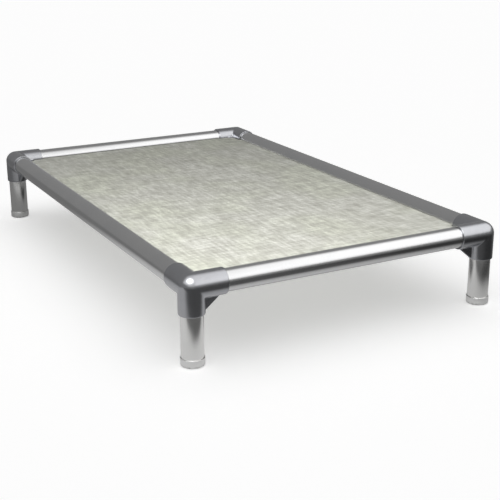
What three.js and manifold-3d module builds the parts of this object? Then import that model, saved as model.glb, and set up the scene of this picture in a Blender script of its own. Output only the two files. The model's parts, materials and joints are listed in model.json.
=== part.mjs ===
// A raised pet bed: four aluminium rails and four legs plug into cast three-way corners,
// and a woven panel is held taut between the rails by a rod in each of its hems.
//
// Millimetres, +Z up. The origin is on the floor, under the middle of the bed.
// +X runs along the length, and -Y is the front long side.

import * as THREE from "three";
import { mergeVertices } from "three/addons/utils/BufferGeometryUtils.js";
import Module from "manifold-3d";

const wasm = await Module();
wasm.setup();

// ---------------------------------------------------------------- driving dimensions

const BED_LENGTH = 1006; // over the corner castings
const BED_WIDTH = 622; // over the corner castings
const RAIL_TOP = 152.4; // floor to the top of the rails

const TUBE_DIAMETER = 38.1;
const TUBE_WALL = 2;
const FIT_GAP = 0.3; // between any two pieces that touch

const SOCKET_WALL = 2.8; // the corner casting round each tube
const RAIL_SOCKET_DEPTH = 35; // the mouth of a rail socket to its shoulder
const LEG_SOCKET_DEPTH = 24; // the mouth of the leg socket to its shoulder
const SHOULDER_WIDTH = 3.05; // the ledge inside a socket that a tube's end meets
const TUBE_SPACING = 2.95; // keeps the ends of the three tubes apart in a corner
const MOUTH_CHAMFER = 0.8;

const GUSSET_THICKNESS = 5;
const GUSSET_SETBACK = 8; // the mouth of a rail socket to the tip of its gusset
const GUSSET_TIP = 1; // the gusset's depth at its tip, below the socket
const CORNER_WEB_THICKNESS = 6;
const CORNER_WEB_LEG = 12; // how far the web runs along each arm from the inner corner

const SCREW_SHANK_RADIUS = 2.4;
const SCREW_SHANK_LENGTH = 15;
const SCREW_HEAD_RADIUS = 4.6;
const SCREW_HEAD_HEIGHT = 2.8;
const SCREW_HEAD_ROUNDING = 1.4;
const BOSS_RADIUS = 5.5;
const RAIL_BOSS_HEIGHT = 5; // on the lower inner side of the rail socket
const RAIL_SCREW_SETBACK = 15; // the mouth of a rail socket to its screw
const LEG_BOSS_HEIGHT = 1.8;
const LEG_SCREW_SETBACK = 11; // the mouth of the leg socket to its screw

const SLOT_RISE = 2; // the rail's centre up to the cloth, the slot and the hem channel
const SLOT_CLEARANCE = 0.9; // above and below the cloth
const SLOT_DEPTH = 2.25; // the rail's surface to the channel
const CHANNEL_CLEARANCE = 0.6; // round the hem
const CHANNEL_WALL = 1.8;

const PANEL_THICKNESS = 1.2;
const HEM_WALL = 0.9;
const HEM_ROD_RADIUS = 2.4;
const HEM_END_GAP = 2; // between a socket mouth and the end of a hem
const PANEL_CLEARANCE = 2; // between the panel's cut corner and the castings

const FOOT_WALL = 1;
const FOOT_BASE = 4;
const FOOT_HEIGHT = 14;
const FOOT_EDGE = 3; // the rounding round the sole
const FOOT_LIP = 0.5;

const TUBE_SIDES = 24;
const CASTING_SIDES = 24;
const SMALL_SIDES = 12;
const SOLE_STEPS = 3; // facets across the rounding of a sole
const CUT_OVERRUN = 1; // how far a cut runs past the face that it opens

// ---------------------------------------------------------------- derived places

const TUBE_RADIUS = TUBE_DIAMETER / 2;
const BORE_RADIUS = TUBE_RADIUS + FIT_GAP;
const SOCKET_RADIUS = BORE_RADIUS + SOCKET_WALL;
const WALL_MIDDLE = BORE_RADIUS + SOCKET_WALL / 2; // where webs and bosses are rooted in a socket
const HALF_SPAN_X = BED_LENGTH / 2 - SOCKET_RADIUS; // bed centre to a corner centre
const HALF_SPAN_Y = BED_WIDTH / 2 - SOCKET_RADIUS;
const RAIL_AXIS_HEIGHT = RAIL_TOP - TUBE_RADIUS;
const CORE_RADIUS = TUBE_RADIUS - SHOULDER_WIDTH; // the hollow inside the shoulders
const SOCKET_STOP = TUBE_RADIUS + TUBE_SPACING; // corner centre to a shoulder
const TUBE_STOP = SOCKET_STOP + FIT_GAP; // corner centre to the end of a tube
const ARM_REACH = SOCKET_STOP + RAIL_SOCKET_DEPTH; // corner centre to the mouth of a rail socket
const LEG_REACH = SOCKET_STOP + LEG_SOCKET_DEPTH; // corner centre to the mouth of the leg socket
const RAIL_SCREW_REACH = ARM_REACH - RAIL_SCREW_SETBACK; // corner centre to a rail's screw
const LEG_SCREW_DROP = LEG_REACH - LEG_SCREW_SETBACK; // corner centre down to the leg's screw
const SCREW_HOLE_RADIUS = SCREW_SHANK_RADIUS + FIT_GAP;
const RAIL_BOSS_REACH = SOCKET_RADIUS + RAIL_BOSS_HEIGHT; // rail axis out to the boss face
const LEG_BOSS_REACH = SOCKET_RADIUS + LEG_BOSS_HEIGHT; // leg axis out to the boss face
const HEM_BORE_RADIUS = HEM_ROD_RADIUS + FIT_GAP;
const HEM_RADIUS = HEM_BORE_RADIUS + HEM_WALL;
const HEM_SETBACK = ARM_REACH + HEM_END_GAP; // corner centre to the end of a hem
const CHANNEL_RADIUS = HEM_RADIUS + CHANNEL_CLEARANCE;
const CHANNEL_OFFSET = TUBE_RADIUS - SLOT_DEPTH - CHANNEL_RADIUS; // rail centre to channel centre
const SLOT_GAP = PANEL_THICKNESS + 2 * SLOT_CLEARANCE;
const FOOT_RADIUS = BORE_RADIUS + FOOT_WALL;
const LEG_BOTTOM = FOOT_BASE + FIT_GAP;

const X_AXIS = new THREE.Vector3(1, 0, 0);
const Y_AXIS = new THREE.Vector3(0, 1, 0);
const Z_AXIS = new THREE.Vector3(0, 0, 1);
const DIAGONAL = new THREE.Vector3(1, 1, 0).normalize();

// The two rail screws of a corner whose arms run along +X and +Y: each one's point on its rail's
// axis, and the way out to its head, which is down and towards the middle of the bed.
const RAIL_SCREWS = [
  { from: new THREE.Vector3(RAIL_SCREW_REACH, 0, 0), out: new THREE.Vector3(0, 1, -1).normalize() },
  { from: new THREE.Vector3(0, RAIL_SCREW_REACH, 0), out: new THREE.Vector3(1, 0, -1).normalize() },
];

// ---------------------------------------------------------------- solids

// A closed three.js geometry as a manifold-3d solid.
function solidFrom(geometry) {
  const bare = geometry.index ? geometry.toNonIndexed() : geometry.clone();
  bare.deleteAttribute("normal");
  bare.deleteAttribute("uv");
  const merged = mergeVertices(bare, 1e-4);
  return new wasm.Manifold(
    new wasm.Mesh({
      numProp: 3,
      vertProperties: new Float32Array(merged.attributes.position.array),
      triVerts: new Uint32Array(merged.index.array),
    }),
  );
}

function geometryFrom(solid) {
  const { vertProperties, triVerts } = solid.getMesh();
  const geometry = new THREE.BufferGeometry();
  geometry.setAttribute("position", new THREE.BufferAttribute(vertProperties, 3));
  geometry.setIndex(new THREE.BufferAttribute(triVerts, 1));
  geometry.computeVertexNormals();
  return geometry;
}

// A profile of [radius, distance] points turned round `axis`, with distance measured along it from `from`.
function turned(profile, sides, axis = Z_AXIS, from = new THREE.Vector3()) {
  const points = profile.map(([radius, distance]) => new THREE.Vector2(radius, distance));
  return new THREE.LatheGeometry(points, sides)
    .applyQuaternion(new THREE.Quaternion().setFromUnitVectors(Y_AXIS, axis))
    .translate(from.x, from.y, from.z);
}

function rod(radius, start, end, sides, axis, from) {
  const profile = [[0, start], [radius, start], [radius, end], [0, end]];
  return turned(profile, sides, axis, from);
}

// Points on an arc about (x, y), both ends included.
function arc(x, y, radius, from, to, steps) {
  return Array.from({ length: steps + 1 }, (_, step) => {
    const angle = from + ((to - from) * step) / steps;
    return new THREE.Vector2(x + radius * Math.cos(angle), y + radius * Math.sin(angle));
  });
}

// A flat outline in the plane of `across` and `up`, given a thickness centred on that plane.
function plate(points, thickness, across, up) {
  const shape = new THREE.Shape(points.map(([x, y]) => new THREE.Vector2(x, y)));
  const frame = new THREE.Matrix4().makeBasis(across, up, new THREE.Vector3().crossVectors(across, up));
  return new THREE.ExtrudeGeometry(shape, { depth: thickness, bevelEnabled: false })
    .translate(0, 0, -thickness / 2)
    .applyMatrix4(frame);
}

// ---------------------------------------------------------------- corner casting

// In the casting's own frame the rail arms point along +X and +Y and the leg socket along -Z.
function socketBody(reach, axis) {
  const profile = [
    [0, 0],
    [SOCKET_RADIUS, 0],
    [SOCKET_RADIUS, reach - MOUTH_CHAMFER],
    [SOCKET_RADIUS - MOUTH_CHAMFER, reach],
    [0, reach],
  ];
  return solidFrom(turned(profile, CASTING_SIDES, axis));
}

function socketBore(reach, axis) {
  const profile = [
    [0, 0],
    [CORE_RADIUS, 0],
    [CORE_RADIUS, SOCKET_STOP],
    [BORE_RADIUS, SOCKET_STOP],
    [BORE_RADIUS, reach - MOUTH_CHAMFER],
    [BORE_RADIUS + MOUTH_CHAMFER, reach],
    [BORE_RADIUS + MOUTH_CHAMFER, reach + CUT_OVERRUN],
    [0, reach + CUT_OVERRUN],
  ];
  return solidFrom(turned(profile, TUBE_SIDES, axis));
}

// The upright web between an arm and the leg socket, sloping from the arm down to the mouth.
function gusset(armAxis) {
  const tip = ARM_REACH - GUSSET_SETBACK;
  const outline = [
    [0, -WALL_MIDDLE],
    [tip, -WALL_MIDDLE],
    [tip, -SOCKET_RADIUS - GUSSET_TIP],
    [SOCKET_RADIUS, -LEG_REACH + MOUTH_CHAMFER],
    [0, -LEG_REACH + MOUTH_CHAMFER],
  ];
  return solidFrom(plate(outline.reverse(), GUSSET_THICKNESS, armAxis, Z_AXIS));
}

// The flat web in the angle between the two arms, rooted in their walls.
function cornerWeb() {
  const end = SOCKET_RADIUS + CORNER_WEB_LEG;
  const outline = [
    [WALL_MIDDLE, WALL_MIDDLE],
    [end, WALL_MIDDLE],
    [end, SOCKET_RADIUS],
    [SOCKET_RADIUS, end],
    [WALL_MIDDLE, end],
  ];
  return solidFrom(plate(outline, CORNER_WEB_THICKNESS, X_AXIS, Y_AXIS));
}

// The boss that a screw's head seats on, and the hole through it, both on one line.
function screwBoss(axis, from, start, end) {
  return {
    body: solidFrom(rod(BOSS_RADIUS, start, end, SMALL_SIDES, axis, from)),
    hole: solidFrom(rod(SCREW_HOLE_RADIUS, 0, end + CUT_OVERRUN, SMALL_SIDES, axis, from)),
  };
}

function cornerGeometry() {
  const down = Z_AXIS.clone().negate();
  const arms = [X_AXIS, Y_AXIS];
  const bosses = [
    ...RAIL_SCREWS.map(({ from, out }) => screwBoss(out, from, WALL_MIDDLE, RAIL_BOSS_REACH)),
    screwBoss(DIAGONAL, new THREE.Vector3(0, 0, -LEG_SCREW_DROP), WALL_MIDDLE, LEG_BOSS_REACH),
  ];
  const bodies = [
    solidFrom(new THREE.SphereGeometry(SOCKET_RADIUS, CASTING_SIDES, CASTING_SIDES / 2)),
    ...arms.map((axis) => socketBody(ARM_REACH, axis)),
    socketBody(LEG_REACH, down),
    ...arms.map(gusset),
    cornerWeb(),
    ...bosses.map((boss) => boss.body),
  ];
  const cuts = [
    solidFrom(new THREE.SphereGeometry(CORE_RADIUS, CASTING_SIDES, CASTING_SIDES / 2)),
    ...arms.map((axis) => socketBore(ARM_REACH, axis)),
    socketBore(LEG_REACH, down),
    ...bosses.map((boss) => boss.hole),
  ];
  const body = bodies.reduce((whole, piece) => whole.add(piece));
  return geometryFrom(cuts.reduce((whole, cut) => whole.subtract(cut), body));
}

// ---------------------------------------------------------------- rails and legs

// The rail's section: a round tube with a hem channel that opens through a slot on its +X side.
function railSection() {
  const slotHalf = SLOT_GAP / 2;
  const mouthLow = Math.asin((SLOT_RISE - slotHalf) / TUBE_RADIUS);
  const mouthHigh = Math.asin((SLOT_RISE + slotHalf) / TUBE_RADIUS);
  const lip = Math.asin(slotHalf / CHANNEL_RADIUS);
  const turn = 2 * Math.PI;
  const section = new THREE.Shape([
    ...arc(0, 0, TUBE_RADIUS, mouthHigh, mouthLow + turn, TUBE_SIDES),
    ...arc(CHANNEL_OFFSET, SLOT_RISE, CHANNEL_RADIUS, turn - lip, lip, SMALL_SIDES),
  ]);

  // The hollow is the tube's bore less the channel's round wall, which meets it at two points.
  const boreRadius = TUBE_RADIUS - TUBE_WALL;
  const wallRadius = CHANNEL_RADIUS + CHANNEL_WALL;
  const reach = Math.hypot(CHANNEL_OFFSET, SLOT_RISE);
  const bearing = Math.atan2(SLOT_RISE, CHANNEL_OFFSET);
  const boreSpread = Math.acos(
    (reach ** 2 + boreRadius ** 2 - wallRadius ** 2) / (2 * reach * boreRadius),
  );
  const wallSpread = Math.acos(
    (boreRadius ** 2 - reach ** 2 - wallRadius ** 2) / (2 * reach * wallRadius),
  );
  const hollow = [
    ...arc(0, 0, boreRadius, bearing + boreSpread, bearing - boreSpread + turn, TUBE_SIDES),
    ...arc(
      CHANNEL_OFFSET, SLOT_RISE, wallRadius,
      bearing - wallSpread + turn, bearing + wallSpread, SMALL_SIDES,
    ).slice(1, -1),
  ];
  section.holes.push(new THREE.Path(hollow));
  return section;
}

// A rail along its own Z, centred, with its slot facing +X and the section's Y as height.
function railGeometry(span) {
  const length = 2 * (span - TUBE_STOP);
  const tube = new THREE.ExtrudeGeometry(railSection(), { depth: length, bevelEnabled: false })
    .translate(0, 0, -length / 2);
  const holeAt = span - RAIL_SCREW_REACH;
  const holeWay = new THREE.Vector3(1, -1, 0).normalize();
  const holes = [-holeAt, holeAt].map((along) =>
    solidFrom(rod(SCREW_HOLE_RADIUS, 0, SOCKET_RADIUS, SMALL_SIDES, holeWay,
      new THREE.Vector3(0, 0, along))),
  );
  return geometryFrom(holes.reduce((whole, hole) => whole.subtract(hole), solidFrom(tube)));
}

// A leg hangs down from the corner centre, which is its origin, with its screw hole facing +X.
function legGeometry() {
  const bottom = LEG_BOTTOM - RAIL_AXIS_HEIGHT;
  const bore = TUBE_RADIUS - TUBE_WALL;
  const profile = [
    [bore, bottom],
    [TUBE_RADIUS, bottom],
    [TUBE_RADIUS, -TUBE_STOP],
    [bore, -TUBE_STOP],
    [bore, bottom],
  ];
  const hole = rod(SCREW_HOLE_RADIUS, 0, SOCKET_RADIUS, SMALL_SIDES, X_AXIS,
    new THREE.Vector3(0, 0, -LEG_SCREW_DROP));
  return geometryFrom(solidFrom(turned(profile, TUBE_SIDES)).subtract(solidFrom(hole)));
}

function footCapGeometry() {
  const sole = arc(FOOT_RADIUS - FOOT_EDGE, FOOT_EDGE, FOOT_EDGE, -Math.PI / 2, 0, SOLE_STEPS);
  return turned(
    [
      [0, 0],
      ...sole.map(({ x, y }) => [x, y]),
      [FOOT_RADIUS, FOOT_HEIGHT - FOOT_LIP],
      [FOOT_RADIUS - FOOT_LIP, FOOT_HEIGHT],
      [BORE_RADIUS, FOOT_HEIGHT],
      [BORE_RADIUS, FOOT_BASE],
      [0, FOOT_BASE],
    ],
    CASTING_SIDES,
  );
}

// A pan-head screw: its seat is at its origin, its shank points along +Z and its head along -Z.
function screwGeometry() {
  return turned(
    [
      [0, -SCREW_HEAD_HEIGHT],
      [SCREW_HEAD_RADIUS - SCREW_HEAD_ROUNDING, -SCREW_HEAD_HEIGHT],
      [SCREW_HEAD_RADIUS, SCREW_HEAD_ROUNDING - SCREW_HEAD_HEIGHT],
      [SCREW_HEAD_RADIUS, 0],
      [SCREW_SHANK_RADIUS, 0],
      [SCREW_SHANK_RADIUS, SCREW_SHANK_LENGTH - SCREW_SHANK_RADIUS],
      [0, SCREW_SHANK_LENGTH],
    ],
    SMALL_SIDES,
  );
}

// ---------------------------------------------------------------- panel and hem rods

// One hem for each rail: the direction out to that rail, and the distances out to it and along it.
const HEMS = [
  { name: "front", out: [0, -1], away: HALF_SPAN_Y, span: HALF_SPAN_X },
  { name: "back", out: [0, 1], away: HALF_SPAN_Y, span: HALF_SPAN_X },
  { name: "left", out: [-1, 0], away: HALF_SPAN_X, span: HALF_SPAN_Y },
  { name: "right", out: [1, 0], away: HALF_SPAN_X, span: HALF_SPAN_Y },
];

// A round bar of the hem's length, centred in the channel of one rail, about the panel's own centre.
function hemBar({ out, away, span }, radius, extra = 0) {
  const [x, y] = out.map((component) => component * (away - CHANNEL_OFFSET));
  const half = span - HEM_SETBACK + extra;
  return rod(radius, -half, half, SMALL_SIDES, x === 0 ? X_AXIS : Y_AXIS, new THREE.Vector3(x, y, 0));
}

// The flat cloth reaches the channels between the sockets and is cut back clear of the castings.
function panelOutline() {
  const inset = SOCKET_RADIUS + PANEL_CLEARANCE;
  const chamfer = CORNER_WEB_LEG + PANEL_CLEARANCE;
  const corner = [
    [HEM_SETBACK, CHANNEL_OFFSET],
    [HEM_SETBACK, inset],
    [inset + chamfer, inset],
    [inset, inset + chamfer],
    [inset, HEM_SETBACK],
    [CHANNEL_OFFSET, HEM_SETBACK],
  ];
  const quarters = [[1, 1], [1, -1], [-1, -1], [-1, 1]];
  return quarters.flatMap(([signX, signY]) => {
    const points = corner.map(([x, y]) => [signX * (HALF_SPAN_X - x), signY * (HALF_SPAN_Y - y)]);
    return signX === signY ? points : points.reverse();
  });
}

function panelGeometry() {
  const cloth = solidFrom(plate(panelOutline().reverse(), PANEL_THICKNESS, X_AXIS, Y_AXIS));
  const hemmed = HEMS.reduce((whole, hem) => whole.add(solidFrom(hemBar(hem, HEM_RADIUS))), cloth);
  return geometryFrom(
    HEMS.reduce((whole, hem) => whole.subtract(solidFrom(hemBar(hem, HEM_BORE_RADIUS, CUT_OVERRUN))), hemmed),
  );
}

// ---------------------------------------------------------------- materials

const material = (color, roughness, metalness) =>
  new THREE.MeshStandardMaterial({ color, roughness, metalness });

const polishedAluminium = material(0xd6d8da, 0.22, 1);
const satinAluminium = material(0xbfc3c2, 0.4, 1);
const castAluminium = material(0x6c7178, 0.3, 0.9);
const wovenVinyl = material(0xc9cabd, 0.85, 0);
const hemRodPlastic = material(0xe8e8e4, 0.5, 0);
const footRubber = material(0xa9adac, 0.6, 0);
const darkSteel = material(0x2c2e31, 0.45, 0.8);

// ---------------------------------------------------------------- assembly

const bed = new THREE.Group();

function place(parent, name, geometry, look, position = new THREE.Vector3()) {
  const mesh = new THREE.Mesh(geometry, look);
  mesh.name = name;
  mesh.position.copy(position);
  parent.add(mesh);
  return mesh;
}

const top = new THREE.Group(); // everything that lies at the height of the rails
top.position.z = RAIL_AXIS_HEIGHT;
bed.add(top);

// Each rail's section is turned so that its slot faces the middle of the bed and its height is +Z.
for (const { name, out, away, span } of HEMS) {
  const inward = new THREE.Vector3(-out[0], -out[1], 0);
  const rail = place(top, `${name}_rail`, railGeometry(span), polishedAluminium,
    inward.clone().multiplyScalar(-away));
  rail.setRotationFromMatrix(
    new THREE.Matrix4().makeBasis(inward, Z_AXIS, new THREE.Vector3().crossVectors(inward, Z_AXIS)),
  );
}

const panelHeight = new THREE.Vector3(0, 0, SLOT_RISE);
place(top, "fabric_panel", panelGeometry(), wovenVinyl, panelHeight);
for (const hem of HEMS) {
  place(top, `${hem.name}_hem_rod`, hemBar(hem, HEM_ROD_RADIUS), hemRodPlastic, panelHeight);
}

// Each corner is the same set of pieces, turned a quarter turn from its neighbours.
const CORNERS = [
  { name: "front_left", x: -1, y: -1, turn: 0, alongX: "front", alongY: "left" },
  { name: "front_right", x: 1, y: -1, turn: 1, alongX: "right", alongY: "front" },
  { name: "back_right", x: 1, y: 1, turn: 2, alongX: "back", alongY: "right" },
  { name: "back_left", x: -1, y: 1, turn: 3, alongX: "left", alongY: "back" },
];

const casting = cornerGeometry();
const leg = legGeometry();
const footCap = footCapGeometry();
const screw = screwGeometry();

for (const { name, x, y, turn, alongX, alongY } of CORNERS) {
  const corner = new THREE.Group();
  corner.position.set(x * HALF_SPAN_X, y * HALF_SPAN_Y, RAIL_AXIS_HEIGHT);
  corner.rotation.z = (turn * Math.PI) / 2;
  bed.add(corner);

  place(corner, `${name}_corner`, casting, castAluminium);
  place(corner, `${name}_leg`, leg, satinAluminium).rotation.z = Math.PI / 4;
  place(corner, `${name}_foot_cap`, footCap, footRubber, new THREE.Vector3(0, 0, -RAIL_AXIS_HEIGHT));

  const screws = [
    { end: `${alongX}_rail`, ...RAIL_SCREWS[0], seat: RAIL_BOSS_REACH },
    { end: `${alongY}_rail`, ...RAIL_SCREWS[1], seat: RAIL_BOSS_REACH },
    { end: "leg", from: new THREE.Vector3(0, 0, -LEG_SCREW_DROP), out: DIAGONAL, seat: LEG_BOSS_REACH },
  ];
  for (const { end, from, out, seat } of screws) {
    const position = out.clone().multiplyScalar(seat + FIT_GAP).add(from);
    const mesh = place(corner, `${name}_screw_${end}`, screw, darkSteel, position);
    mesh.quaternion.setFromUnitVectors(Z_AXIS, out.clone().negate());
  }
}

export default bed;
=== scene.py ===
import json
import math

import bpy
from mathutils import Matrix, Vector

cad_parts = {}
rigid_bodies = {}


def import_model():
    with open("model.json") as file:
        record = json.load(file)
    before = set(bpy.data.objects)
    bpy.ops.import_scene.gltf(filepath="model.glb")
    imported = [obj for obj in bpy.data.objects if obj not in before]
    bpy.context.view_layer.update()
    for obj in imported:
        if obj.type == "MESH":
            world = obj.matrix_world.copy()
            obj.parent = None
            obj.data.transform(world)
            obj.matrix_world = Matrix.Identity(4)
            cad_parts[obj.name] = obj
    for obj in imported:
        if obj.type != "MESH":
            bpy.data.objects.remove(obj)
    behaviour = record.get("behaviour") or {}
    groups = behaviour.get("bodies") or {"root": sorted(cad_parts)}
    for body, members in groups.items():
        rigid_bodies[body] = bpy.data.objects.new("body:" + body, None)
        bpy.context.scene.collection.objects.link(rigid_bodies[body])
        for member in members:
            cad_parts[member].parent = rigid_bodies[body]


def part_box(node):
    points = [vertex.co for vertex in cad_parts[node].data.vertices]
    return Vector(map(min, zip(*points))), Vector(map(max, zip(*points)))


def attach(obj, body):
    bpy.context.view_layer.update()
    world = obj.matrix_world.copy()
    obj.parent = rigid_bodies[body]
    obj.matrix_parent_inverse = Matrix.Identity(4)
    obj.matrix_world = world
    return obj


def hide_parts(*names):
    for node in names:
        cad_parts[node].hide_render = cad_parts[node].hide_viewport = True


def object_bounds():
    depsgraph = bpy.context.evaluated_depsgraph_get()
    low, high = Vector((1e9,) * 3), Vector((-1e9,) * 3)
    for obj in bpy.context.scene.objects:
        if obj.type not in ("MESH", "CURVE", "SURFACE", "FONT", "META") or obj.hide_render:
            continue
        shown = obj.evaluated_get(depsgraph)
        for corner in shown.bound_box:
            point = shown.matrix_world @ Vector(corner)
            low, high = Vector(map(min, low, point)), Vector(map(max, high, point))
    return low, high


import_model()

# %% [markdown]
# # A raised dog bed, from its frame to its weave
#
# The bed is a low cot: four polished tube rails plug into four cast corners, the corners
# stand on four short legs, and a woven panel is stretched between the rails. The frame
# is already here with every part at its real size, so this lesson is about looks. Each part
# gets a finer mesh in the same place, and each finish is built from nodes.

cad_low, cad_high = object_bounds()
print("the frame's box:", [round(v, 4) for v in (*cad_low, *cad_high)])

# %% [markdown]
# ## Sizes that every piece shares
#
# Half the width of a leg's box is the tube's radius. A corner's box starts one socket radius
# outside the corner's centre, and the foot cap below has the same centre. Reading such values
# from the frame, and not typing them again, keeps the fine meshes in step with it.

# %% Sizes read from the frame
MM = 0.001


def middle(node):
    low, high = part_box(node)
    return (low + high) / 2


def extent(node):
    low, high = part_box(node)
    return high - low


TUBE_RADIUS = extent("front_left_leg").x / 2
TUBE_WALL = 2 * MM
CORNER_X = middle("front_right_foot_cap").x
CORNER_Y = middle("back_right_foot_cap").y
corner_low, corner_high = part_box("front_left_corner")
SOCKET_RADIUS = -CORNER_X - corner_low.x
RAIL_HEIGHT = corner_high.z - SOCKET_RADIUS
CORNERS = {
    "front_left": (-CORNER_X, -CORNER_Y, 0),
    "front_right": (CORNER_X, -CORNER_Y, 1),
    "back_right": (CORNER_X, CORNER_Y, 2),
    "back_left": (-CORNER_X, CORNER_Y, 3),
}
print("tube radius", round(TUBE_RADIUS, 5), "rail height", round(RAIL_HEIGHT, 5))
print("corner centres at x", round(CORNER_X, 4), "and y", round(CORNER_Y, 4))

# %% [markdown]
# ## The camera
#
# A long lens from a little over two metres flattens the bed gently, as a catalogue view does.
# The camera looks down at a corner from the right, so that one short side faces it and
# the long sides run away from it.

# %% Camera
CAMERA_PLACE = (1.8723, -0.9249, 0.6964)
CAMERA_DOWN = 18.27
CAMERA_HEADING = 61.98
CAMERA_ROLL = -0.25
CAMERA_LENS = 75.2

camera_data = bpy.data.cameras.new("camera")
camera_data.lens = CAMERA_LENS
camera = bpy.data.objects.new("camera", camera_data)
camera.matrix_world = (
    Matrix.Translation(CAMERA_PLACE)
    @ Matrix.Rotation(math.radians(CAMERA_HEADING), 4, "Z")
    @ Matrix.Rotation(math.radians(90 - CAMERA_DOWN), 4, "X")
    @ Matrix.Rotation(math.radians(CAMERA_ROLL), 4, "Z")
)
bpy.context.scene.collection.objects.link(camera)
bpy.context.scene.camera = camera
print("camera", round(math.dist(CAMERA_PLACE, (0, 0, 0)), 2), "m from the bed's middle")

# %% [markdown]
# ## A short way to write materials
#
# A material is a network of nodes. Wiring it by hand in Python takes many lines, so one small
# class wraps a socket and lets it be used in a sum: `1 - mask * 0.5` adds the Math
# nodes for it. A second class holds one material's nodes and adds any other kind of node.


# %% A socket that can be used in a sum
class Signal:
    """One output socket. Sums on it add Math nodes."""

    def __init__(self, look, socket):
        self.look = look
        self.socket = socket

    def math(self, operation, *others):
        values = {place: value for place, value in enumerate((self, *others))}
        return self.look.node("ShaderNodeMath", {"operation": operation}, values)

    def __add__(self, other):
        return self.math("ADD", other)

    def __radd__(self, other):
        return self + other

    def __sub__(self, other):
        return self.math("SUBTRACT", other)

    def __rsub__(self, other):
        return self * -1 + other

    def __mul__(self, other):
        return self.math("MULTIPLY", other)

    def __rmul__(self, other):
        return self * other

    def __pow__(self, other):
        return self.math("POWER", other)

    def ramp(self, low, high, to_low=0.0, to_high=1.0):
        """Follows this value from low to high, smoothly and no further, between two others."""
        settings = {"interpolation_type": "SMOOTHSTEP"}
        values = {"Value": self, "From Min": low, "From Max": high, "To Min": to_low, "To Max": to_high}
        return self.look.node("ShaderNodeMapRange", settings, values)


# %% One material and its nodes
class Look:
    """One material. Values and links are given to a node by the names of its sockets."""

    def __init__(self, name):
        self.material = bpy.data.materials.new(name)
        self.material.use_nodes = True
        self.tree = self.material.node_tree
        self.shader = self.tree.nodes["Principled BSDF"]

    def put(self, socket, value):
        if isinstance(value, Signal):
            self.tree.links.new(value.socket, socket)
        else:
            socket.default_value = value

    def node(self, kind, settings=None, values=None, output=0):
        made = self.tree.nodes.new(kind)
        for name, value in (settings or {}).items():
            setattr(made, name, value)
        for name, value in (values or {}).items():
            self.put(made.inputs[name], value)
        return Signal(self, made.outputs[output])

    def place(self, turn=(0, 0, 0), stretch=(1, 1, 1)):
        """The piece's own coordinates in metres, turned and stretched."""
        coordinates = self.node("ShaderNodeTexCoord", output="Object")
        values = {"Vector": coordinates, "Rotation": turn, "Scale": stretch}
        return self.node("ShaderNodeMapping", values=values)

    def noise(self, vector, scale, detail=2.0, roughness=0.5):
        values = {"Vector": vector, "Scale": scale, "Detail": detail, "Roughness": roughness}
        return self.node("ShaderNodeTexNoise", values=values)

    def parts(self, vector):
        """The x, y and z of a vector."""
        made = self.node("ShaderNodeSeparateXYZ", values={0: vector}).socket.node
        return [Signal(self, output) for output in made.outputs]

    def mix(self, factor, first, second):
        """A colour between two others."""
        values = {"Factor": factor, 6: first, 7: second}
        return self.node("ShaderNodeMix", {"data_type": "RGBA"}, values, output=2)

    def bump(self, height, distance, strength=1.0, below=None):
        values = {"Height": height, "Distance": distance, "Strength": strength}
        if below is not None:
            values["Normal"] = below
        return self.node("ShaderNodeBump", values=values)

    def finish(self, **sockets):
        """Sets the shader's own sockets, such as Base_Color, by constants or signals."""
        for name, value in sockets.items():
            self.put(self.shader.inputs[name.replace("_", " ")], value)
        print("material", self.material.name, "has", len(self.tree.nodes), "nodes")
        return self.material


def grey(value, warmth=0.0):
    """An opaque grey, a little yellower where warmth is above 0 and bluer below."""
    return (value * (1 + warmth), value * (1 + warmth * 0.6), value * (1 - warmth), 1)


# %% [markdown]
# ## Helpers for modelling
#
# Blender's operators act on whatever is selected, and the frame arrives selected. So every
# step first clears the selection. Faces are then picked by where they are or which way they
# face, as a modeller picks them by eye.


# %% Selecting and finishing
def select_only(*pieces):
    for piece in bpy.context.view_layer.objects:
        piece.select_set(False)
    for piece in pieces:
        piece.select_set(True)
    bpy.context.view_layer.objects.active = pieces[0]


def pick(piece, faces=None, edges=None):
    """Opens the piece in edit mode with only the faces, or the edges, that pass the test selected."""
    select_only(piece)
    mesh = piece.data
    for group in (mesh.vertices, mesh.edges, mesh.polygons):
        group.foreach_set("select", [False] * len(group))
    if faces:
        for face in mesh.polygons:
            face.select = faces(face.center, face.normal)
    if edges:
        for edge in mesh.edges:
            edge.select = edges(*(mesh.vertices[end].co for end in edge.vertices))
    bpy.ops.object.mode_set(mode="EDIT")
    bpy.ops.mesh.select_mode(type="FACE" if faces else "EDGE")


def leave_edit_mode():
    bpy.ops.object.mode_set(mode="OBJECT")


def named(name):
    """The piece just added, with its place taken into its mesh."""
    piece = bpy.context.object
    piece.name = name
    select_only(piece)
    bpy.ops.object.transform_apply(location=True, rotation=True, scale=True)
    return piece


def modifier(piece, kind, **settings):
    """Adds a modifier with these settings and applies it."""
    select_only(piece)
    made = piece.modifiers.new(kind.lower(), kind)
    for name, value in settings.items():
        setattr(made, name, value)
    bpy.ops.object.modifier_apply(modifier=made.name)


def join_or_cut(piece, tool, operation):
    """Adds a closed tool to a piece, or cuts it away, and clears the tool up."""
    modifier(piece, "BOOLEAN", object=tool, operation=operation, solver="EXACT")
    bpy.data.objects.remove(tool)


def smooth(piece, angle=35):
    select_only(piece)
    bpy.ops.object.shade_smooth_by_angle(angle=math.radians(angle))


def cylinder(name, radius, start, end, sides=96, cap="NGON"):
    """A round bar from one point to another."""
    start, end = Vector(start), Vector(end)
    turn = (end - start).to_track_quat("Z", "Y").to_euler()
    bpy.ops.mesh.primitive_cylinder_add(
        vertices=sides, radius=radius, depth=(end - start).length,
        location=(start + end) / 2, rotation=turn, end_fill_type=cap,
    )
    return named(name)


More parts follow.
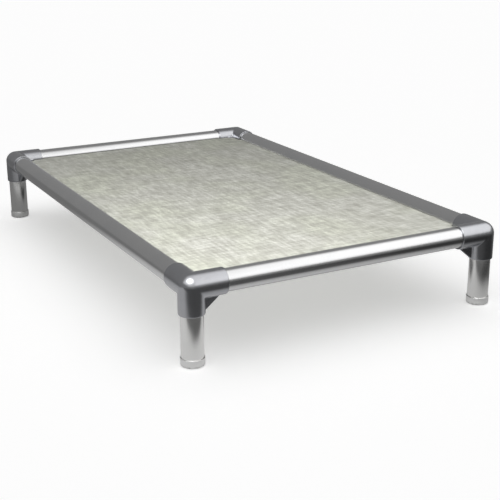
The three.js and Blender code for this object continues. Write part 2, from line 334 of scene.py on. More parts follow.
def copy_to(piece, name, matrix):
    """A copy with its own mesh, moved by the matrix."""
    copied = piece.copy()
    copied.data = piece.data.copy()
    copied.data.transform(matrix)
    copied.name = name
    bpy.context.scene.collection.objects.link(copied)
    return copied


def turned_to(x, y, z=0.0, quarter_turns=0):
    return Matrix.Translation((x, y, z)) @ Matrix.Rotation(quarter_turns * math.pi / 2, 4, "Z")


def off_by(piece, node):
    """The furthest that a side of the piece's box lies from the same side of the node's box."""
    corners = [vertex.co for vertex in piece.data.vertices]
    node_low, node_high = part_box(node)
    gaps = [min(c[i] for c in corners) - node_low[i] for i in range(3)]
    gaps += [max(c[i] for c in corners) - node_high[i] for i in range(3)]
    return max(abs(gap) for gap in gaps)


def dress(piece, material, node):
    """Gives a finished piece its material and lets it stand for a node of the frame."""
    piece.data.materials.clear()
    piece.data.materials.append(material)
    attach(piece, "root")
    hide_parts(node)
    faces, gap = len(piece.data.polygons), off_by(piece, node) / MM
    print(f"{piece.name} stands for {node}: {faces} faces, boxes {gap:.2f} mm apart at most")


# %% [markdown]
# ## Polished tube
#
# The rails are drawn aluminium tube, polished until it mirrors the studio. Drawing leaves fine
# lines along the tube, so the noise that roughens it is stretched fifty times along the
# tube. The rails lie two ways, so the material takes the direction of the lines.


# %% Polished tube
def polished_tube(name, along):
    look = Look(name)
    lines = look.place(stretch=[0.02 if axis == along else 1 for axis in "xyz"])
    drawn = look.noise(lines, 900, detail=3)
    haze = look.noise(look.place(), 14, detail=4)
    smudges = look.noise(look.place(), 60, detail=5, roughness=0.65).ramp(0.55, 0.75)
    return look.finish(
        Base_Color=look.mix(haze, grey(0.67, -0.01), grey(0.76, 0.005)),
        Metallic=1.0,
        Roughness=0.18 + drawn * 0.05 + smudges * 0.05,
        Normal=look.bump(drawn, 0.02 * MM, 0.35),
    )


rail_finish = {axis: polished_tube(f"polished_tube_along_{axis}", axis) for axis in "xy"}

# %% [markdown]
# ## Satin tube
#
# The legs are the same tube with a duller, brushed skin. It spreads a reflection
# sideways, so a leg shows broad light and dark stripes and no sharp ones.

# %% Satin tube
look = Look("satin_tube")
brushed = look.noise(look.place(stretch=(1, 1, 0.02)), 3200, detail=2)
haze = look.noise(look.place(), 30, detail=4)
leg_finish = look.finish(
    Base_Color=look.mix(haze, grey(0.88, 0.005), grey(0.95, 0.01)),
    Metallic=1.0,
    Roughness=0.21 + brushed * 0.06,
    Normal=look.bump(brushed, 0.02 * MM, 0.25),
)

# %% [markdown]
# ## Dark glossy casting
#
# The corners are castings with a dark, wet-looking coat. The metal below is slightly
# uneven, which shows as a soft waviness in the reflections, and fine pits break it up.

# %% Casting
look = Look("cast_corner")
waves = look.noise(look.place(), 45, detail=3)
grain = look.noise(look.place(), 900, detail=2)
cast_finish = look.finish(
    Base_Color=look.mix(waves, grey(0.45, -0.025), grey(0.53, -0.03)),
    Metallic=1.0,
    Roughness=0.21 + grain * 0.06,
    Coat_Weight=0.10,
    Coat_Roughness=0.08,
    Normal=look.bump(grain, 0.04 * MM, 0.3, below=look.bump(waves, 0.6 * MM, 0.35)),
)

# %% [markdown]
# ## Moulded foot caps, rods and blackened screws
#
# The caps are soft clear plastic drawn tight over the tube, so most of what shows is the
# metal behind them: they are given a mirror's response, dulled by the mould's fine grain,
# and are darker in patches low down, where they meet the floor. The rods are plain extruded plastic.
# The screws are blackened steel, worn bright on the crown of the head.

# %% Foot caps
look = Look("foot_cap")
height = look.parts(look.place())[2]
grain = look.noise(look.place(), 1200, detail=3)
# Darker and rougher in noise patches within the lowest few millimetres, next to the floor.
low_dark_patches = height.ramp(0.001, 0.006, 1, 0) * look.noise(look.place(), 220, detail=4).ramp(0.4, 0.65)
cap_finish = look.finish(
    Base_Color=look.mix(low_dark_patches, grey(0.82, 0.005), grey(0.45, 0.01)),
    Metallic=0.85,
    Roughness=0.30 + grain * 0.10 + low_dark_patches * 0.2,
    Normal=look.bump(grain, 0.08 * MM, 0.5),
)

# %% Hem rods
look = Look("hem_rod")
drawn = look.noise(look.place(stretch=(0.1, 0.1, 1)), 500, detail=3)
rod_finish = look.finish(
    Base_Color=look.mix(drawn, grey(0.72), grey(0.78, 0.02)),
    Roughness=0.40 + drawn * 0.2,
    Normal=look.bump(drawn, 0.05 * MM, 0.4),
)

# %% Screws
look = Look("blackened_screw")
wear = look.noise(look.place(), 900, detail=4).ramp(0.5, 0.7)
screw_finish = look.finish(
    Base_Color=look.mix(wear, grey(0.045, -0.03), grey(0.30)),
    Metallic=0.85,
    Roughness=0.45 - wear * 0.15,
    Normal=look.bump(wear, 0.04 * MM, 0.5),
)

# %% [markdown]
# ## The rails
#
# A rail is one extruded length of tube with a round channel along its inner side. The channel
# opens through a narrow slot, and the panel's hem slides in from the end. A cylinder
# gives the outside. The hollow is cut out in one piece, which is a bore with a bite taken
# out of it for the channel's wall, and then the channel and its slot are cut.

# %% Sizes of the rail's section
HEM_RISE = middle("front_hem_rod").z - RAIL_HEIGHT
HEM_ROD_RADIUS = extent("front_hem_rod").z / 2
CHANNEL_RADIUS = 4.2 * MM
CHANNEL_WALL = 1.8 * MM
SLOT_GAP = 3.0 * MM
SLOT_LIP_ROUNDING = 0.5 * MM
CHANNEL_OFFSET = abs(middle("front_hem_rod").y) - CORNER_Y
OVERRUN = 2 * MM
SCREW_HOLE_RADIUS = 2.7 * MM
print("channel centre", round(-CHANNEL_OFFSET / MM, 2), "mm in from the rail's axis")


# %% One rail, made at the origin along X with its slot towards +Y
def make_rail(name, length, screw_setback):
    half = length / 2
    inward = -CHANNEL_OFFSET
    past = half + OVERRUN
    start, stop = Vector((-past, inward, HEM_RISE)), Vector((past, inward, HEM_RISE))
    overrun = Vector((OVERRUN, 0, 0))
    rail = cylinder(name, TUBE_RADIUS, (-half, 0, 0), (half, 0, 0), sides=128)
    hollow = cylinder("hollow", TUBE_RADIUS - TUBE_WALL, (-past, 0, 0), (past, 0, 0), sides=96)
    bite_radius = CHANNEL_RADIUS + CHANNEL_WALL
    bite = cylinder("bite", bite_radius, start - overrun, stop + overrun, sides=48)
    join_or_cut(hollow, bite, "DIFFERENCE")
    join_or_cut(rail, hollow, "DIFFERENCE")
    channel = cylinder("channel", CHANNEL_RADIUS, start, stop, sides=48)
    join_or_cut(rail, channel, "DIFFERENCE")
    slot_depth = TUBE_RADIUS - inward + OVERRUN
    bpy.ops.mesh.primitive_cube_add(size=1, location=(0, inward + slot_depth / 2, HEM_RISE),
                                    scale=(2 * past, slot_depth, SLOT_GAP))
    join_or_cut(rail, named("slot"), "DIFFERENCE")
    for side in (-1, 1):
        on_axis = Vector((side * (half - screw_setback), 0, 0))
        way_out = Vector((0, 1, -1)).normalized() * (TUBE_RADIUS + OVERRUN)
        hole = cylinder("hole", SCREW_HOLE_RADIUS, on_axis, on_axis + way_out, sides=24)
        join_or_cut(rail, hole, "DIFFERENCE")
    pick(rail, edges=lambda a, b: abs(a.x - b.x) > half and min(a.y, b.y) > TUBE_RADIUS * 0.97)
    bpy.ops.mesh.bevel(offset=SLOT_LIP_ROUNDING, segments=3, affect="EDGES")
    leave_edit_mode()
    smooth(rail, 30)
    return rail


# %% The four rails, from a long one and a short one
SCREW_SETBACK = abs(middle("front_left_screw_front_rail").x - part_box("front_rail")[0].x)
long_rail = make_rail("long_rail", extent("front_rail").x, SCREW_SETBACK)
short_rail = make_rail("short_rail", extent("left_rail").y, SCREW_SETBACK)
RAILS = {
    "front": (long_rail, 0, -CORNER_Y, 0),
    "back": (long_rail, 0, CORNER_Y, 2),
    "left": (short_rail, -CORNER_X, 0, 3),
    "right": (short_rail, CORNER_X, 0, 1),
}
for side, (pattern, x, y, quarter_turns) in RAILS.items():
    rail = copy_to(pattern, f"{side}_rail_tube", turned_to(x, y, RAIL_HEIGHT, quarter_turns))
    dress(rail, rail_finish["x" if x == 0 else "y"], f"{side}_rail")
for pattern in (long_rail, short_rail):
    bpy.data.objects.remove(pattern)

# %% [markdown]
# ## The corner castings
#
# A corner is three round sockets that meet in a ball, stiffened by an upright gusset under each
# arm and a flat web between the arms. A casting has no sharp inner edges, because
# molten metal fills them badly. Rounding each seam by hand would be slow, so the parts are put
# together roughly and then remeshed in small cubes and smoothed, which melts every seam into a
# fillet.

# %% Sizes of a casting, in its own frame: arms along +X and +Y, the leg socket down
ARM_REACH = corner_high.x + CORNER_X
LEG_REACH = RAIL_HEIGHT - corner_low.z
TUBE_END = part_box("front_rail")[0].x + CORNER_X
FIT_GAP = 0.3 * MM
BORE_RADIUS = TUBE_RADIUS + FIT_GAP
CORE_RADIUS = TUBE_RADIUS - 3 * MM
MOUTH_CHAMFER = 0.8 * MM
RAIL_SCREW_REACH = middle("front_left_screw_front_rail").x + CORNER_X
BOSS_RADIUS = 5.5 * MM
RAIL_BOSS_REACH = SOCKET_RADIUS + 5 * MM
LEG_SCREW_DROP = RAIL_HEIGHT - middle("front_left_screw_leg").z
LEG_BOSS_REACH = SOCKET_RADIUS + 1.8 * MM
GUSSET_THICKNESS = 5 * MM
GUSSET_SETBACK = 8 * MM
GUSSET_TIP = 1 * MM
WEB_THICKNESS = 6 * MM
WEB_REACH = SOCKET_RADIUS + 12 * MM
DIAGONAL = Vector((1, 1, 0)).normalized()
print("in mm: socket radius", round(SOCKET_RADIUS / MM, 2), "arm's reach", round(ARM_REACH / MM, 2))


# %% Plates that are cut to shape by slicing corners off a block
def block(name, low, high):
    low, high = Vector(low), Vector(high)
    bpy.ops.mesh.primitive_cube_add(size=1, location=(low + high) / 2, scale=high - low)
    return named(name)


def slice_off(piece, point, outward):
    """Cuts the piece by a plane and closes it, dropping what lies outward."""
    select_only(piece)
    bpy.ops.object.mode_set(mode="EDIT")
    bpy.ops.mesh.select_all(action="SELECT")
    bpy.ops.mesh.bisect(plane_co=point, plane_no=outward, use_fill=True, clear_outer=True)
    leave_edit_mode()


def socket(name, axis, reach):
    """A solid socket with its mouth's outer edge chamfered."""
    made = cylinder(name, SOCKET_RADIUS, (0, 0, 0), axis * reach, sides=128)
    pick(made, faces=lambda centre, normal: centre.dot(axis) > reach * 0.999)
    bpy.ops.mesh.bevel(offset=MOUTH_CHAMFER, segments=3, affect="EDGES")
    leave_edit_mode()
    return made


# %% The casting's outside
ARMS = (Vector((1, 0, 0)), Vector((0, 1, 0)))
DOWN = Vector((0, 0, -1))

bpy.ops.mesh.primitive_uv_sphere_add(segments=96, ring_count=48, radius=SOCKET_RADIUS)
casting = named("casting")
outside = [socket("arm", axis, ARM_REACH) for axis in ARMS] + [socket("leg_socket", DOWN, LEG_REACH)]

gusset_end = ARM_REACH - GUSSET_SETBACK
gusset_drop = SOCKET_RADIUS + GUSSET_TIP
gusset_foot = LEG_REACH - MOUTH_CHAMFER
half_plate = GUSSET_THICKNESS / 2
gusset = block("gusset", (0, -half_plate, -gusset_foot), (gusset_end, half_plate, -BORE_RADIUS))
slope = Vector((gusset_foot - gusset_drop, 0, -(gusset_end - SOCKET_RADIUS)))
slice_off(gusset, (gusset_end, 0, -gusset_drop), slope)
outside.append(gusset)
outside.append(copy_to(gusset, "second_gusset", turned_to(0, 0, 0, 1)))

half_web = WEB_THICKNESS / 2
web = block("web", (BORE_RADIUS, BORE_RADIUS, -half_web), (WEB_REACH, WEB_REACH, half_web))
slice_off(web, DIAGONAL * (SOCKET_RADIUS + WEB_REACH) / math.sqrt(2), DIAGONAL)
outside.append(web)

# A screw's line: a point on its tube's axis, the way out to its head, and the boss face's distance.
# The order is the arm along X, the arm along Y and the leg, as the screws are named further on.
screw_lines = []
for arm, other_arm in (ARMS, ARMS[::-1]):
    screw_lines.append((arm * RAIL_SCREW_REACH, (other_arm + DOWN).normalized(), RAIL_BOSS_REACH))
screw_lines.append((DOWN * LEG_SCREW_DROP, DIAGONAL, LEG_BOSS_REACH))
for base, direction, reach in screw_lines:
    root, face = base + direction * BORE_RADIUS, base + direction * reach
    outside.append(cylinder("boss", BOSS_RADIUS, root, face, sides=48))
select_only(casting, *outside)
bpy.ops.object.join()
print("casting, before it is melted together:", len(casting.data.polygons), "faces")

# %% Fillets, by remeshing and smoothing
VOXEL = 0.8 * MM
modifier(casting, "REMESH", mode="VOXEL", voxel_size=VOXEL, adaptivity=0)
modifier(casting, "SMOOTH", factor=0.5, iterations=8)

# %% The casting's sockets, their shoulders and the screw holes
# Throats of one width would meet in seams with no thickness, so each is a little narrower.
THROAT_OVERLAP = 6 * MM
shoulder = TUBE_END - FIT_GAP
sockets = ((ARMS[0], ARM_REACH, 0), (ARMS[1], ARM_REACH, 0.15 * MM), (DOWN, LEG_REACH, 0.3 * MM))
for axis, reach, narrower in sockets:
    start, end = axis * -THROAT_OVERLAP, axis * (shoulder + OVERRUN)
    throat = cylinder("throat", CORE_RADIUS - narrower, start, end)
    join_or_cut(casting, throat, "DIFFERENCE")
    bore = cylinder("bore", BORE_RADIUS, axis * shoulder, axis * (reach + OVERRUN))
    join_or_cut(casting, bore, "DIFFERENCE")
for base, direction, reach in screw_lines:
    hole = cylinder("hole", SCREW_HOLE_RADIUS, base, base + direction * (reach + OVERRUN), sides=24)
    join_or_cut(casting, hole, "DIFFERENCE")
smooth(casting, 40)
print("casting:", len(casting.data.polygons), "faces")
for name, (x, y, quarter_turns) in CORNERS.items():
    corner = copy_to(casting, f"{name}_casting", turned_to(x, y, RAIL_HEIGHT, quarter_turns))
    dress(corner, cast_finish, f"{name}_corner")
bpy.data.objects.remove(casting)

# %% [markdown]
# ## The legs
#
# A leg is a straight cut of tube. An open cylinder given a wall by Solidify makes both skins and
# both ends at once, and a small bevel takes the saw's sharpness off the ends.

# %% Legs
leg_low, leg_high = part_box("front_left_leg")
leg_foot, leg_top = Vector((0, 0, leg_low.z)), Vector((0, 0, leg_high.z))
leg_tube = cylinder("leg_tube", TUBE_RADIUS, leg_foot, leg_top, sides=128, cap="NOTHING")
modifier(leg_tube, "SOLIDIFY", thickness=TUBE_WALL, offset=-1)
pick(leg_tube, faces=lambda centre, normal: abs(normal.z) > 0.9)
bpy.ops.mesh.bevel(offset=0.3 * MM, segments=2, affect="EDGES")
leave_edit_mode()
hole_start = Vector((0, 0, RAIL_HEIGHT - LEG_SCREW_DROP))
hole_end = hole_start + DIAGONAL * (TUBE_RADIUS + OVERRUN)
join_or_cut(leg_tube, cylinder("hole", SCREW_HOLE_RADIUS, hole_start, hole_end, sides=24), "DIFFERENCE")
smooth(leg_tube, 30)
for name, (x, y, quarter_turns) in CORNERS.items():
    leg = copy_to(leg_tube, f"{name}_leg_tube", turned_to(x, y, 0, quarter_turns))
    dress(leg, leg_finish, f"{name}_leg")
bpy.data.objects.remove(leg_tube)

# %% [markdown]
# ## The foot caps
#
# A foot cap is a moulded cup. It starts as a solid cylinder. The top face is inset by the
# wall and pushed down to make the cup, and then the sole's edge is rounded with a wide
# bevel and the lip with a narrow one.

# %% Foot caps
CAP_RADIUS = extent("front_left_foot_cap").x / 2
CAP_HEIGHT = extent("front_left_foot_cap").z
CAP_BASE = 4 * MM
SOLE_ROUNDING = 3 * MM
LIP_ROUNDING = 0.45 * MM

cap = cylinder("cap", CAP_RADIUS, (0, 0, 0), (0, 0, CAP_HEIGHT), sides=128)
pick(cap, faces=lambda centre, normal: normal.z > 0.9)
bpy.ops.mesh.inset(thickness=CAP_RADIUS - BORE_RADIUS)
bpy.ops.mesh.extrude_region_move(TRANSFORM_OT_translate={"value": (0, 0, CAP_BASE - CAP_HEIGHT)})
leave_edit_mode()
pick(cap, faces=lambda centre, normal: normal.z < -0.9)
bpy.ops.mesh.bevel(offset=SOLE_ROUNDING, segments=7, affect="EDGES")
leave_edit_mode()
pick(cap, faces=lambda centre, normal: normal.z > 0.9 and centre.z > CAP_HEIGHT * 0.9)
bpy.ops.mesh.bevel(offset=LIP_ROUNDING, segments=3, affect="EDGES")
leave_edit_mode()
smooth(cap, 40)
for name, (x, y, quarter_turns) in CORNERS.items():
    foot = copy_to(cap, f"{name}_cup_foot", turned_to(x, y))
    dress(foot, cap_finish, f"{name}_foot_cap")
bpy.data.objects.remove(cap)

# %% [markdown]
# ## The screws
#
# Each screw is a pan head on a short shank. The head is a disc with a broad bevel on its crown,
# and a cross of two slots is cut into it for the driver. One screw is made with its seat at
# the origin and its head down, and then each copy is turned to its own hole.

# %% Screws
HEAD_RADIUS = 4.6 * MM
HEAD_HEIGHT = 2.8 * MM
HEAD_ROUNDING = 1.4 * MM
SHANK_RADIUS = 2.4 * MM
SHANK_LENGTH = 15 * MM
RECESS_WIDTH = 1.0 * MM
RECESS_LENGTH = 5.0 * MM
RECESS_DEPTH = 1.6 * MM

screw = cylinder("screw", HEAD_RADIUS, (0, 0, -HEAD_HEIGHT), (0, 0, 0), sides=48)
pick(screw, faces=lambda centre, normal: normal.z < -0.9)
bpy.ops.mesh.bevel(offset=HEAD_ROUNDING, segments=5, affect="EDGES")
leave_edit_mode()
for quarter_turn in (0, 1):
    slot = block("recess", (-RECESS_LENGTH / 2, -RECESS_WIDTH / 2, -HEAD_HEIGHT - OVERRUN),
                 (RECESS_LENGTH / 2, RECESS_WIDTH / 2, RECESS_DEPTH - HEAD_HEIGHT))
    slot.data.transform(turned_to(0, 0, 0, quarter_turn))
    join_or_cut(screw, slot, "DIFFERENCE")
shank = cylinder("shank", SHANK_RADIUS, (0, 0, -HEAD_HEIGHT * 0.3), (0, 0, SHANK_LENGTH), sides=32)
pick(shank, faces=lambda centre, normal: normal.z > 0.9)
bpy.ops.mesh.bevel(offset=SHANK_RADIUS * 0.8, segments=1, affect="EDGES")
leave_edit_mode()
join_or_cut(screw, shank, "UNION")
smooth(screw, 35)

RAILS_AT = {"front_left": ("front", "left"), "front_right": ("right", "front"),
            "back_right": ("back", "right"), "back_left": ("left", "back")}
for name, (x, y, quarter_turns) in CORNERS.items():
    at_corner = turned_to(x, y, RAIL_HEIGHT, quarter_turns)
    along_x, along_y = RAILS_AT[name]
    ends = (f"{along_x}_rail", f"{along_y}_rail", "leg")
    for end, (base, direction, reach) in zip(ends, screw_lines):
        turn = DOWN.rotation_difference(direction).to_matrix().to_4x4()
        seated = at_corner @ Matrix.Translation(base + direction * (reach + FIT_GAP)) @ turn
        node = f"{name}_screw_{end}"
        dress(copy_to(screw, f"{node}_pan_head", seated), screw_finish, node)
bpy.data.objects.remove(screw)

# %% [markdown]
# ## The hem rods
#
# A plastic rod lies in each hem and stops it from pulling out through the slot. It is seen
# only at the rail's ends, where a small bevel rounds it off.

# %% Hem rods
for side in RAILS:
    low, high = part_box(f"{side}_hem_rod")
    centre = (low + high) / 2
    along = Vector((1, 0, 0)) if side in ("front", "back") else Vector((0, 1, 0))
    half = along * (high - low).dot(along) / 2
    rod = cylinder(f"{side}_rod_bar", HEM_ROD_RADIUS, centre - half, centre + half, sides=32)
    pick(rod, faces=lambda centre, normal: abs(normal.dot(along)) > 0.9)
    bpy.ops.mesh.bevel(offset=0.8 * MM, segments=3, affect="EDGES")
    leave_edit_mode()
    smooth(rod)
    dress(rod, rod_finish, f"{side}_hem_rod")

# %% [markdown]
# ## Woven vinyl
#
# The panel is woven from coated yarns as uneven as linen. Its two sets of yarns pass over and
# under each other, which a pair of waves gives: where one yarn rises its neighbours dip. Noise
# drawn out along each set of yarns makes the slubs, the thick places that give the cloth its
# streaks.

# %% Woven vinyl
YARN_PITCH = 1.3 * MM


def yarns(look, across, along):
    """The height of one set of yarns: round across each yarn, and rising and dipping along it."""
    turns = math.pi / YARN_PITCH
    row = (across * (1 / YARN_PITCH)).math("FLOOR")
    crown = (across * turns).math("SINE").math("ABSOLUTE")
    wave = (along * turns + row * math.pi).math("SINE") * 0.5 + 0.5
    return crown * (wave * 0.6 + 0.4)


def slubs(look, stretch, scale, low, high):
    return look.noise(look.place(stretch=stretch), scale, detail=3, roughness=0.6).ramp(low, high)


look = Look("woven_vinyl")
wander = look.noise(look.place(), 70, detail=2) * (0.5 * MM)
x, y = look.parts(look.place())[:2]
across_yarns = yarns(look, x + wander, y + YARN_PITCH / 2)
along_yarns = yarns(look, y + wander, x)
weave = across_yarns.math("MAXIMUM", along_yarns)
streaks_along = slubs(look, (0.20, 1.5, 1), 120, 0.36, 0.68)
streaks_across = slubs(look, (1.5, 0.20, 1), 120, 0.36, 0.68)
patches = slubs(look, (1, 1, 1), 40, 0.3, 0.7)
tone = streaks_along * 0.40 + streaks_across * 0.36 + patches * 0.24
mottle = look.noise(look.place(), 7, detail=1).ramp(0.4, 0.66)
pale_yarn = look.mix(mottle, (0.475, 0.48, 0.442, 1), (0.468, 0.485, 0.41, 1))
yarn_colour = look.mix(tone, (0.205, 0.205, 0.177, 1), pale_yarn)
# Painted shade: the dips between the yarns are darkened in the colour, as shade falls there.
painted_weave_shade = look.mix(weave.ramp(0.15, 0.75), (0.14, 0.14, 0.121, 1), yarn_colour)
fabric_finish = look.finish(
    Base_Color=painted_weave_shade,
    Roughness=0.62 + tone * 0.2,
    Normal=look.bump(weave + tone * 0.8, 0.35 * MM, 0.7),
)

# %% [markdown]
# ## The woven panel
#
# The panel is one sheet. Along each side it goes through the rail's slot, wraps round the rod
# and comes back under itself as a hem. A flat grid gives the middle, its corners are
# sliced off to clear the castings, and each side's edge is then drawn out step by step round
# the rod. A wall is given to the sheet last, so that it is the same thickness everywhere.

# %% Sizes of the panel
SHEET_THICKNESS = 0.9 * MM
GRID_CELL = 6 * MM
HEM_LEAD = 8 * MM
HEM_FLAP = 22 * MM
LOOP_RADIUS = HEM_ROD_RADIUS + FIT_GAP + SHEET_THICKNESS / 2
PANEL_HEIGHT = RAIL_HEIGHT + HEM_RISE
ROD_X = CORNER_X + CHANNEL_OFFSET
ROD_Y = CORNER_Y + CHANNEL_OFFSET
HEM_HALF_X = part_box("front_hem_rod")[1].x
HEM_HALF_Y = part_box("left_hem_rod")[1].y
CASTING_CLEARANCE = 2 * MM
NOTCH_X = CORNER_X - SOCKET_RADIUS - CASTING_CLEARANCE
NOTCH_Y = CORNER_Y - SOCKET_RADIUS - CASTING_CLEARANCE
NOTCH_CHAMFER = WEB_REACH - SOCKET_RADIUS + CASTING_CLEARANCE

# %% The flat middle, with its corners cut away
half_x, half_y = ROD_X - HEM_LEAD, ROD_Y - HEM_LEAD
bpy.ops.mesh.primitive_grid_add(
    x_subdivisions=round(2 * half_x / GRID_CELL), y_subdivisions=round(2 * half_y / GRID_CELL),
    size=2, location=(0, 0, PANEL_HEIGHT),
)
bpy.context.object.scale = (half_x, half_y, 1)
panel = named("woven_panel")


def score(piece, point, outward):
    """Adds an edge line across the whole sheet where a plane meets it."""
    select_only(piece)
    bpy.ops.object.mode_set(mode="EDIT")
    bpy.ops.mesh.select_all(action="SELECT")
    bpy.ops.mesh.bisect(plane_co=point, plane_no=outward)
    leave_edit_mode()


cut_lines = {(1, 0, 0): (HEM_HALF_X, NOTCH_X), (0, 1, 0): (HEM_HALF_Y, NOTCH_Y)}
for axis, cuts in cut_lines.items():
    axis = Vector(axis)
    for cut in cuts:
        for side in (-1, 1):
            score(panel, axis * side * cut, axis)
for side_x in (-1, 1):
    for side_y in (-1, 1):
        score(panel, (side_x * NOTCH_X, side_y * (NOTCH_Y - NOTCH_CHAMFER), 0), (side_x, side_y, 0))


def is_cut_away(centre, normal):
    x, y = abs(centre.x), abs(centre.y)
    in_hem_gap = x > HEM_HALF_X and y > NOTCH_Y or y > HEM_HALF_Y and x > NOTCH_X
    return in_hem_gap or (x - NOTCH_X) + (y - NOTCH_Y) > -NOTCH_CHAMFER


pick(panel, faces=is_cut_away)
bpy.ops.mesh.delete(type="FACE")
leave_edit_mode()
print("flat sheet:", len(panel.data.polygons), "faces")


# %% The hems, drawn out round the rods
def hem_path():
    """The sheet's path past its flat edge, as distances inward from the rod's axis and above it."""
    path = [(5.8 * MM, 0), (4.4 * MM, 0.15 * MM)]
    first, last, steps = math.radians(50), math.radians(310), 18
    for step in range(steps + 1):
        angle = first + (last - first) * step / steps
        path.append((LOOP_RADIUS * math.cos(angle), LOOP_RADIUS * math.sin(angle)))
    under = -SHEET_THICKNESS - 0.05 * MM
    return path + [(4.4 * MM, under), (5.8 * MM, under), (12 * MM, under), (HEM_FLAP, under)]


def draw_hem(piece, outward, rod_distance, edge_distance, hem_half):
    """Extrudes one side's edge along the hem's path."""
    outward = Vector(outward)
    along = Vector((abs(outward.y), abs(outward.x), 0))

    def on_side(a, b):
        out = min(a.dot(outward), b.dot(outward))
        aside = max(abs(a.dot(along)), abs(b.dot(along)))
        return out > edge_distance - 0.01 * MM and aside < hem_half + 0.01 * MM

    pick(piece, edges=on_side)
    last = (rod_distance - edge_distance, 0)
    for inward, rise in hem_path():
        step = outward * (last[0] - inward) + Vector((0, 0, rise - last[1]))
        bpy.ops.mesh.extrude_region_move(TRANSFORM_OT_translate={"value": step})
        last = (inward, rise)
    leave_edit_mode()


draw_hem(panel, (0, -1, 0), ROD_Y, half_y, HEM_HALF_X)
draw_hem(panel, (0, 1, 0), ROD_Y, half_y, HEM_HALF_X)
draw_hem(panel, (-1, 0, 0), ROD_X, half_x, HEM_HALF_Y)
draw_hem(panel, (1, 0, 0), ROD_X, half_x, HEM_HALF_Y)
modifier(panel, "SOLIDIFY", thickness=SHEET_THICKNESS, offset=0)
smooth(panel, 50)
dress(panel, fabric_finish, "fabric_panel")

# %% [markdown]
# ## The stage
#
# The floor is a pale plane that runs far past the view. Polished metal shows what surrounds
# it more than it shows itself, so the surroundings matter as much as the lamps: a studio for
# metal has a large bright sheet overhead and dark cloth round the camera. Two cards that only
# mirrors can see play these parts, one overhead and one on the floor. The floor card is pale
# close round the bed and in front of it, dark beyond, and has the bed's shadow painted on it
# underneath.

# %% Floor
bpy.ops.mesh.primitive_plane_add(size=30)
floor = named("floor")
look = Look("pale_floor")
FLOOR_GLOW = 0.43
floor.data.materials.append(look.finish(
    Base_Color=grey(0.96), Roughness=0.9, Specular_IOR_Level=0.0,
    Emission_Color=grey(1), Emission_Strength=FLOOR_GLOW,
))
floor.visible_glossy = False


# %% Cards that only mirrors can see
def mirror_card(name, centre, size, glow_at):
    """A level card whose glow depends on the place on it, in metres from its own centre."""
    bpy.ops.mesh.primitive_plane_add(size=size)
    made = named(name)
    look = Look(name)
    x, y = look.parts(look.place())[:2]
    made.data.materials.append(look.finish(
        Base_Color=grey(0), Roughness=1.0, Specular_IOR_Level=0.0,
        Emission_Color=glow_at(x, y), Emission_Strength=1.0,
    ))
    made.location = centre
    for kind in ("camera", "diffuse", "shadow", "transmission"):
        setattr(made, f"visible_{kind}", False)


EDGE_X, EDGE_Y = cad_high.x, cad_high.y
CARD_NEAR = 0.56
CARD_FAR = 0.185
CARD_DARK = 0.085
DARK_POOL = (0.80, 0.55)
LAMP_SPOT = (-1.95, -2.13)
SHEET_GLOW = 1.16
LAMP_GLOW = 3.4
ROOM_GLOW = 0.24


def distance_from(x, y, point):
    return ((x - point[0]) ** 2 + (y - point[1]) ** 2) ** 0.5


def floor_glow(x, y):
    """Pale close round the bed and in front of it, dark beyond, with a painted shadow of the bed
    underneath.
    """
    past_x = x.math("ABSOLUTE") - EDGE_X
    past_y = y.math("ABSOLUTE") - EDGE_Y
    around = past_x.ramp(0.14, 0.04) * past_y.ramp(0.14, 0.04)
    in_front = y.ramp(-0.26, -0.40) * x.ramp(0.70, 0.57)
    lit_end = x.ramp(-0.45, 0.20)
    # Painted shadow of the bed on the card: dark under the bed, and darker still under its left end.
    painted_bed_shadow = past_x.ramp(-0.06, -0.16) * past_y.ramp(-0.06, -0.16)
    away = x.ramp(0.45, 0.66, CARD_FAR, CARD_DARK)
    lit_end = lit_end * y.ramp(-0.10, 0.30, 1.0, 0.75)
    pale = around.math("MAXIMUM", in_front) * lit_end * (CARD_NEAR - CARD_FAR)
    from_pool = distance_from(x, y, DARK_POOL)
    painted_shadow_under_left_end = painted_bed_shadow * x.ramp(0.0, -0.35)
    dimmed = (1 - painted_bed_shadow * 0.8) * (1 - painted_shadow_under_left_end * 0.7) * (1 - from_pool.ramp(0.45, 0.20) * 0.6)
    return (away + pale) * dimmed


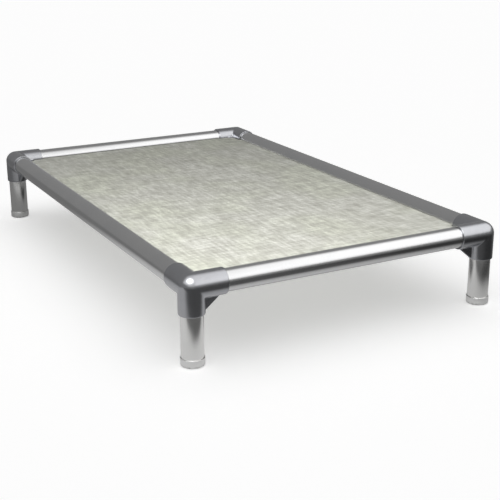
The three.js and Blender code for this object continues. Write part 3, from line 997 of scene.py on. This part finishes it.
def overhead_glow(x, y):
    """A sheet that fades to both sides, and a lamp behind it that shows as a round bright spot."""
    sheet = x.ramp(-4.5, -3.1) * x.ramp(6.0, -0.5, 0.42, 1.0) * y.ramp(-0.8, 0.2, 0.62, 1.0)
    lamp = distance_from(x, y, LAMP_SPOT).ramp(1.35, 0.75)
    return sheet * SHEET_GLOW + lamp * LAMP_GLOW + ROOM_GLOW


mirror_card("floor_card", (0, 0, 0.2 * MM), 6, floor_glow)
mirror_card("overhead_card", (3.5, 1.0, 2.13), 10, overhead_glow)

# %% The room seen by mirrors past the cards, and the glow seen by everything else
scene = bpy.context.scene
scene.view_settings.view_transform = "Standard"
world = bpy.data.worlds.new("studio")
world.use_nodes = True
scene.world = world
studio = Look.__new__(Look)
studio.tree = world.node_tree
up = studio.parts(studio.node("ShaderNodeTexCoord", output="Generated"))[2]
mirrored = up.ramp(-0.05, 0.10, 0.18, 0.25)
light_path = studio.tree.nodes.new("ShaderNodeLightPath")
is_glossy = Signal(studio, light_path.outputs["Is Glossy Ray"])
is_camera = Signal(studio, light_path.outputs["Is Camera Ray"])
GLOW = 0.92
BACKDROP = 0.97
glow = up.ramp(0.40, 0.85, 0.05, 1.0) * GLOW
strength = is_glossy * mirrored + is_camera * BACKDROP + (1 - is_glossy) * (1 - is_camera) * glow
studio.put(world.node_tree.nodes["Background"].inputs["Strength"], strength)
world.node_tree.nodes["Background"].inputs["Color"].default_value = grey(1)


# %% A soft lamp
def softbox(name, place, aim, size, power):
    data = bpy.data.lights.new(name, "AREA")
    data.shape = "RECTANGLE"
    data.size, data.size_y = size
    data.energy = power
    light = bpy.data.objects.new(name, data)
    light.location = place
    light.rotation_euler = (Vector(aim) - Vector(place)).to_track_quat("-Z", "Y").to_euler()
    light.visible_glossy = False
    scene.collection.objects.link(light)
    return light


key = softbox("key", (0.62, -0.36, 1.06), (0.58, -0.34, 0.1), (0.7, 0.7), 27)

# The lamp would burn the floor out near the bed, so it is kept off the floor by light linking.
unlit = bpy.data.collections.new("kept_off_the_key")
unlit.objects.link(floor)
key.light_linking.receiver_collection = unlit
unlit.collection_objects[0].light_linking.link_state = "EXCLUDE"
